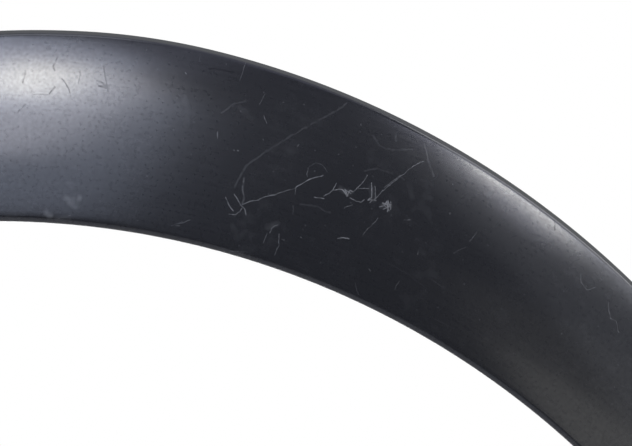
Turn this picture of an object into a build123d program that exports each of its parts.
from build123d import *
from math import asin, atan2, cos, degrees, radians, sin, sqrt, tan
import os

# Wheel arch trim: one moulded plastic band that frames a wheel opening, and the clips that hold it to the wing.
# The origin is the centre of the wheel opening, on the plane of the wing that the trim seats on.
# X runs along the car, Y goes into the wing, so that the face looks towards -Y, and Z is up.
# Angles along the arch are degrees from the crown, towards +X. Sizes are millimetres.

# Opening and outer edge, seen from the front: the edge is three tangent arcs a side, flatter towards the legs
opening_radius = 395.0
crown_width = 90.6
crown_edge_tighter_by = 71.0  # the crown arc's radius is this much under the opening's
crown_edge_half_angle = 5.2
shoulder_edge_flatter_by = 28.4  # the shoulder arc's radius is this much over the opening's
shoulder_edge_end_angle = 46.0
leg_edge_flatter_by = 155.0  # the same for the leg arc
leg_drop = 20.0  # how far the legs go on below the centre of the opening

# Section across the band: a return at the outer edge, a bulged face, a lip and a flange back to the wing
wall = 3.0
edge_height = 9.0
edge_draft = 12.0
face_half_turn = 14.0  # half the angle that the face turns through
crown_lip_height = 36.0
leg_lip_height = 26.0
crease_radius = 3.4
lip_radius = 2.6
end_bevel = 1.5
section_count = 17

# Ribs across the inside of the face
rib_thickness = 1.6
rib_depth = 7.0
ribs_between_clips = 2

# Push-in clips: a head inside its house, a neck through the slot, a collar on the wing and a barbed anchor behind it
clips_each_side = 4
clip_pitch_angle = 22.5
clip_circle_offset = 27.0  # from the opening's edge to the clips' axes
head_width = 15.0
head_thickness = 2.0
neck_width = 7.0
collar_width = 17.0
collar_thickness = 1.5
corner_cut = 2.5
anchor_length = 15.0
anchor_depth = 7.0
anchor_post = 2.4
anchor_barb = 1.3
shoulder_width = 10.4
shoulder_height = 5.0
barb_end_width = 7.6
barb_end_height = 1.4  # leaves room for the wing's sheet

# Houses that stand on the inside of the face and hold the clips' heads
house_plate = 2.5
house_wall = 2.0
head_clearance = 0.6
slot_clearance = 0.2

# Screw holes in the flange, on raised pads
screw_hole_radius = 3.25
screw_setback = 11.0  # from the wing to the holes' axes
screw_pad_radius = 7.5
screw_pad_height = 1.5
screw_bays = (1, 3)  # the bays between clips, counted from the crown, that hold a screw

past = 2.0 * wall  # how far a cutting shape runs past the face that it cuts

end_angle = 90.0 + degrees(asin(leg_drop / opening_radius))
end_wall_angle = degrees(asin(wall / opening_radius))
clip_circle_radius = opening_radius + clip_circle_offset
clip_angles = [k * clip_pitch_angle for k in range(-clips_each_side, clips_each_side + 1)]
bay_starts = clip_angles[:-1]
rib_steps = [(k + 1) / (ribs_between_clips + 1) for k in range(ribs_between_clips)]
rib_angles = [start + step * clip_pitch_angle for start in bay_starts for step in rib_steps]
screw_angles = [side * (bay + 0.5) * clip_pitch_angle for bay in screw_bays for side in (-1, 1)]


def edge_arcs():
    """The outer edge's arcs on the +X side: centre x, centre z, radius and the angle where each ends."""
    plan = (
        (opening_radius - crown_edge_tighter_by, crown_edge_half_angle),
        (opening_radius + shoulder_edge_flatter_by, shoulder_edge_end_angle),
        (opening_radius + leg_edge_flatter_by, 180.0),
    )
    x, z, turn, reach = 0.0, opening_radius + crown_width, 0.0, 0.0
    arcs = []
    for radius, arc_end in plan:
        # The next centre lies on the line through the last centre and the point where the arcs meet
        x += (reach - radius) * sin(radians(turn))
        z += (reach - radius) * cos(radians(turn))
        arcs.append((x, z, radius, arc_end))
        turn, reach = arc_end, radius
    return arcs


def edge_radius(angle):
    """Distance from the origin to the outer edge, along the direction at this angle."""
    way_x, way_z = sin(radians(abs(angle))), cos(radians(angle))
    for x, z, radius, arc_end in edge_arcs():
        along = way_x * x + way_z * z
        reach = along + sqrt(radius**2 - x**2 - z**2 + along**2)
        if degrees(atan2(reach * way_x - x, reach * way_z - z)) <= arc_end:
            break
    return reach


def section_plane(angle):
    """The plane across the band at this angle, with its x outwards from the centre and its y into the wing."""
    s, c = sin(radians(angle)), cos(radians(angle))
    return Plane((0, 0, 0), x_dir=(s, 0, c), z_dir=(-c, 0, s))


def station(angle, radius, y):
    """A frame with its x along the arch, its y towards the centre and its z into the wing."""
    s, c = sin(radians(angle)), cos(radians(angle))
    return Plane((radius * s, y, radius * c), x_dir=(c, 0, -s), z_dir=(0, 1, 0))


def crease_and_lip(angle):
    """The sharp corners of the section, before rounding: the crease at the outer edge, and the lip."""
    lip_height = leg_lip_height + (crown_lip_height - leg_lip_height) * cos(radians(angle)) ** 2
    crease = (edge_radius(angle) - edge_height * tan(radians(edge_draft)), -edge_height)
    lip = (opening_radius, -lip_height)
    return crease, lip


def band_section(angle, inset):
    """The band's outline at this angle, run on past the wing's plane. An inset outline keeps its corners sharp."""
    back = inset + past
    crease, lip = crease_and_lip(angle)
    run, rise = lip[0] - crease[0], lip[1] - crease[1]
    bulge = tan(radians(face_half_turn / 2)) / 2
    middle = (crease[0] + run / 2 - rise * bulge, crease[1] + rise / 2 + run * bulge)
    edge_tip = (edge_radius(angle) + back * tan(radians(edge_draft)), back)
    flange_tip = (opening_radius, back)
    outline = [
        Line(edge_tip, crease),
        ThreePointArc(crease, middle, lip),
        Line(lip, flange_tip),
        Line(flange_tip, edge_tip),
    ]
    sketch = make_face(outline)
    if inset:
        return section_plane(angle) * offset(sketch, -inset, kind=Kind.INTERSECTION)
    for corner, radius in ((crease, crease_radius), (lip, lip_radius)):
        vertex = sketch.vertices().sort_by_distance(corner)[0]
        sketch = fillet(vertex, radius)
    return section_plane(angle) * sketch


def band(inset, end_inset):
    """The solid inside the band's outline, from leg to leg, a section at a time."""
    reach = end_angle - end_inset
    step = 2 * reach / (section_count - 1)
    return loft([band_section(k * step - reach, inset) for k in range(section_count)])


def rib(angle):
    """A thin web across the inside of the face, with a straight free edge."""
    crease, lip = crease_and_lip(angle)
    corners = [
        (crease[0], -crown_lip_height - past),
        (crease[0], crease[1] + rib_depth),
        (lip[0], lip[1] + rib_depth),
        (lip[0], -crown_lip_height - past),
    ]
    web = make_face(Polyline(corners, close=True))
    return extrude(section_plane(angle) * web, rib_thickness / 2, both=True)


def clip_house(angle):
    """A box on the inside of the face, with one open side and a slotted plate under the clip's collar."""
    pocket = head_width / 2 + head_clearance
    slot = neck_width / 2 + slot_clearance
    depth = crown_lip_height + past
    from_low_x = (Align.MIN, Align.CENTER, Align.MAX)
    width = 2 * (pocket + house_wall)
    outside = Pos(-pocket - house_wall, 0, 0) * Box(2 * pocket + house_wall, width, depth, align=from_low_x)
    inside = Pos(-pocket, 0, -house_plate) * Box(2 * pocket + past, 2 * pocket, depth, align=from_low_x)
    way_in = Pos(-slot, 0, past) * Box(slot + pocket + past, 2 * slot, depth, align=from_low_x)
    return station(angle, clip_circle_radius, -collar_thickness) * (outside - inside - way_in)


def square_plate(width, thickness, top):
    """A square plate with its corners cut, up to this height along the clip's axis."""
    plate = extrude(chamfer(Rectangle(width, width).vertices(), corner_cut), thickness)
    return Pos(0, 0, top - thickness) * plate


def clip_barb():
    """One springy arm of the anchor, from the tip out to the shoulder and back towards the post."""
    post, shoulder, barb_end = anchor_post / 2, shoulder_width / 2, barb_end_width / 2
    root = anchor_length - 2 * anchor_barb
    corners = [
        (0, anchor_length),
        (post, anchor_length),
        (shoulder, shoulder_height),
        (barb_end, barb_end_height),
        (barb_end - anchor_barb, barb_end_height),
        (shoulder - anchor_barb, shoulder_height),
        (post, root),
        (0, root),
    ]
    arm = make_face(Polyline(corners, close=True))
    return extrude(Plane.XZ * arm, anchor_depth / 2, both=True)


def retaining_clip(angle):
    """One clip along its axis: head, neck, collar, post and a pair of barbs."""
    plate_top = -collar_thickness
    plate_under = plate_top - house_plate
    barb = clip_barb()
    on_base = (Align.CENTER, Align.CENTER, Align.MIN)
    clip = square_plate(head_width, head_thickness, plate_under)
    clip += Pos(0, 0, plate_under) * Box(neck_width, neck_width, house_plate, align=on_base)
    clip += square_plate(collar_width, collar_thickness, 0)
    clip += Box(anchor_post, anchor_depth, anchor_length, align=on_base)
    clip += [barb, mirror(barb, Plane.YZ)]
    return station(angle, clip_circle_radius, 0) * clip


def screw_frame(angle):
    """A frame on the flange, with its z outwards from the centre along a screw's axis."""
    s, c = sin(radians(angle)), cos(radians(angle))
    return Plane(
        (opening_radius * s, -screw_setback, opening_radius * c), x_dir=(0, 1, 0), z_dir=(s, 0, c)
    )


def screw_pad(angle):
    """The raised pad on the inside of the flange, from the flange's own face."""
    pad = Cylinder(screw_pad_radius, wall + screw_pad_height, align=(Align.CENTER, Align.CENTER, Align.MIN))
    return screw_frame(angle) * pad


def screw_hole(angle):
    """The hole through the flange and its pad."""
    return screw_frame(angle) * Cylinder(screw_hole_radius, 2 * (wall + screw_pad_height + past))


def outer_form():
    """The solid inside the outside of the band, with its two ends bevelled."""
    form = band(0, 0)
    end_faces = form.faces().filter_by(GeomType.PLANE)
    end_edges = [edge for face in end_faces for edge in face.edges() if edge.center().Y < wall]
    return chamfer(end_edges, end_bevel)


def inner_core():
    """What is hollow behind the face: the band less its wall, slotted for the ribs, houses and pads."""
    standing = [rib(angle) for angle in rib_angles]
    standing += [clip_house(angle) for angle in clip_angles]
    standing += [screw_pad(angle) for angle in screw_angles]
    return band(wall, end_wall_angle) - standing


def arch_moulding():
    """The one moulded piece, cut off flat where it seats on the wing."""
    size = 4 * (opening_radius + crown_width)
    behind_wing = Box(size, size, size, align=(Align.CENTER, Align.MIN, Align.CENTER))
    holes = [screw_hole(angle) for angle in screw_angles]
    return outer_form() - inner_core() - behind_wing - holes


os.makedirs("parts", exist_ok=True)
export_step(arch_moulding(), "parts/arch_moulding.step")
export_step(Compound(children=[retaining_clip(angle) for angle in clip_angles]), "parts/retaining_clips.step")
